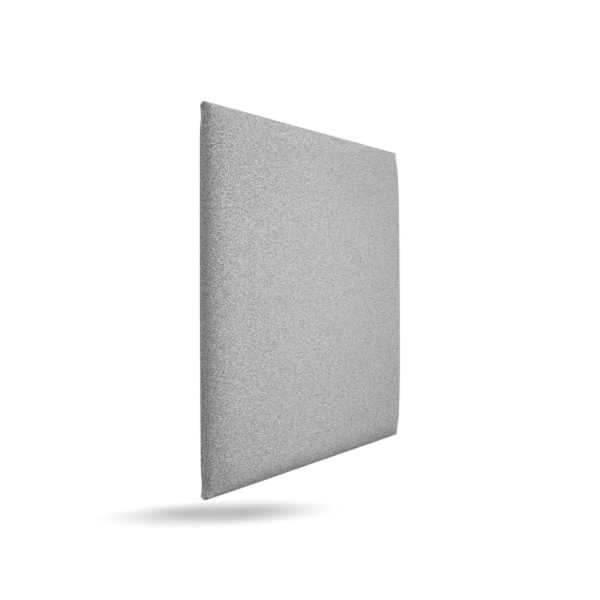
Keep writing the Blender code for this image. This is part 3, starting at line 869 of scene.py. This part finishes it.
foam, tree, shader = new_finish("pale_foam_open_cells")
place = object_place(tree)
cells = node(tree, "ShaderNodeTexVoronoi", {"Vector": place, "Scale": CELLS_PER_METRE}).outputs["Distance"]
ageing = noise(tree, place, AGEING_PER_METRE, detail=3.0, roughness=0.5)
# Painted shade: the foam is darker down in the pits of its cells.
painted_shade_in_pits = (0.40, 0.35, 0.24, 1.0)
on_walls = (0.76, 0.71, 0.57, 1.0)
give(
    tree,
    shader,
    colour=colour_between(tree, map_onto(tree, cells, 0.05, 0.45), painted_shade_in_pits, on_walls),
    bump=relief(tree, cells, strength=0.8, distance=CELL_RELIEF),
    roughness=map_onto(tree, ageing, 0.3, 0.7, 0.82, 0.94),
)
pad.data.materials.append(foam)
print("nodes in the foam's finish", len(tree.nodes))

# %% [markdown]
# ## Board, fixings and felt finishes
#
# The board is pressed wood fibre: a light brown ground with short dark and pale fibres lying every way.
# One stretched random pattern would give it a straight grain like sawn wood, so three of them, turned
# apart, are laid together and the strongest one shows. Hanger plates and screws are zinc-plated steel,
# silvery with a faint blue and a cloudy grain. Staples are drawn zinc wire, a little duller, with fine
# lines along it. The pads on the back are dense dark felt with loose fibres on top.

# %% Fibreboard
FIBRE_TURNS = (0.0, 0.9, 1.9)
FIBRE_SHAPE = (1500.0, 900.0, 210.0)
PATCHES_PER_METRE = 24.0
FIBRE_RELIEF = 0.0003

board, tree, shader = new_finish("fibreboard_pressed")
place = object_place(tree)
layers = []
for angle in FIBRE_TURNS:
    turned_fibres = stretched(tree, place, FIBRE_SHAPE, turn=(0.0, angle, 0.0))
    layers.append(noise(tree, turned_fibres, 1.0, detail=3.0, roughness=0.65))
fibres = reckon(tree, "MAXIMUM", reckon(tree, "MAXIMUM", layers[0], layers[1]), layers[2])
dark_wood = (0.330, 0.215, 0.120, 1.0)
pale_wood = (0.560, 0.410, 0.255, 1.0)
wood = colour_between(tree, map_onto(tree, fibres, 0.42, 0.72), dark_wood, pale_wood)
patches = noise(tree, place, PATCHES_PER_METRE, detail=4.0)
patchy = map_onto(tree, patches, 0.3, 0.7, 0.88, 1.10)
give(
    tree,
    shader,
    colour=scaled(tree, wood, patchy),
    bump=relief(tree, fibres, strength=0.35, distance=FIBRE_RELIEF),
    roughness=map_onto(tree, fibres, 0.4, 0.7, 0.80, 0.66),
)
print("nodes in the fibreboard's finish", len(tree.nodes))

# %% Zinc
ZINC_CLOUDS_PER_METRE = 160.0
ZINC_SPAN = (0.35, 0.65)
ZINC_DULLED = 0.72
ZINC_BRIGHTENED = 1.18
ZINC_RELIEF = 0.00006


def zinc_finish(name, colour, grain, roughness):
    """Zinc-plated steel: a metal whose dull clouds and fine lines are two sizes of noise."""
    metal, tree, shader = new_finish(name)
    place = object_place(tree)
    clouds = noise(tree, place, ZINC_CLOUDS_PER_METRE, detail=3.0)
    fine_lines = noise(tree, stretched(tree, place, grain), 1.0, detail=3.0, roughness=0.7)
    mottled = reckon(tree, "MULTIPLY_ADD", fine_lines, 0.5, reckon(tree, "MULTIPLY", clouds, 0.5))
    dull = tuple(level * ZINC_DULLED for level in colour) + (1.0,)
    bright = tuple(level * ZINC_BRIGHTENED for level in colour) + (1.0,)
    give(
        tree,
        shader,
        colour=colour_between(tree, map_onto(tree, mottled, *ZINC_SPAN), dull, bright),
        bump=relief(tree, fine_lines, strength=0.25, distance=ZINC_RELIEF),
        roughness=map_onto(tree, mottled, *ZINC_SPAN, roughness + 0.10, roughness - 0.08),
    )
    shader.inputs["Metallic"].default_value = 1.0
    print("nodes in", name, len(tree.nodes))
    return metal


plate_zinc = zinc_finish("zinc_plate_bright", (0.42, 0.435, 0.46), (400.0, 3000.0, 6000.0), 0.34)
wire_zinc = zinc_finish("zinc_wire_drawn", (0.44, 0.45, 0.47), (5000.0, 5000.0, 700.0), 0.40)

# %% Felt
HAIRS_PER_METRE = 1900.0
LUMPS_PER_METRE = 320.0
FELT_RELIEF = 0.0004

felt, tree, shader = new_finish("dark_felt_pressed")
place = object_place(tree)
hairs = noise(tree, place, HAIRS_PER_METRE, detail=4.0, roughness=0.75)
lumps = noise(tree, place, LUMPS_PER_METRE, roughness=0.5)
near_black = (0.016, 0.016, 0.018, 1.0)
dark_grey = (0.075, 0.075, 0.080, 1.0)
give(
    tree,
    shader,
    colour=colour_between(tree, map_onto(tree, hairs, 0.35, 0.7), near_black, dark_grey),
    bump=relief(tree, reckon(tree, "ADD", hairs, lumps), strength=0.7, distance=FELT_RELIEF),
)
shader.inputs["Roughness"].default_value = 0.96
shader.inputs["Sheen Weight"].default_value = 0.25
print("nodes in the felt's finish", len(tree.nodes))

# %% Finishes onto the frame's own solids
finish_of_slot = {
    "fibreboard": board,
    "zinc_plate": plate_zinc,
    "zinc_wire": wire_zinc,
    "dark_felt": felt,
}
dressed = 0
for solid in frame["nodes"].values():
    for slot in solid.material_slots:
        if slot.material and slot.material.name in finish_of_slot:
            slot.material = finish_of_slot[slot.material.name]
            dressed += 1
print("solids with a new finish", dressed)

# %% [markdown]
# ## The soft pieces on the panel's body
#
# The three soft pieces stand for the three soft solids. All of them are part of one rigid panel, so
# they ride on its single body. The cover and the wadding are cloths that were cut flat and stretched.

# %% Onto the body, in place of the solids
for piece, solid_name, slot_name in (
    (cover, "fabric_cover", "grey_melange_cloth"),
    (wadding, "wadding_layer", "white_wadding"),
    (pad, "foam_pad", "pale_foam"),
):
    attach(piece, "root")
    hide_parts(solid_name)
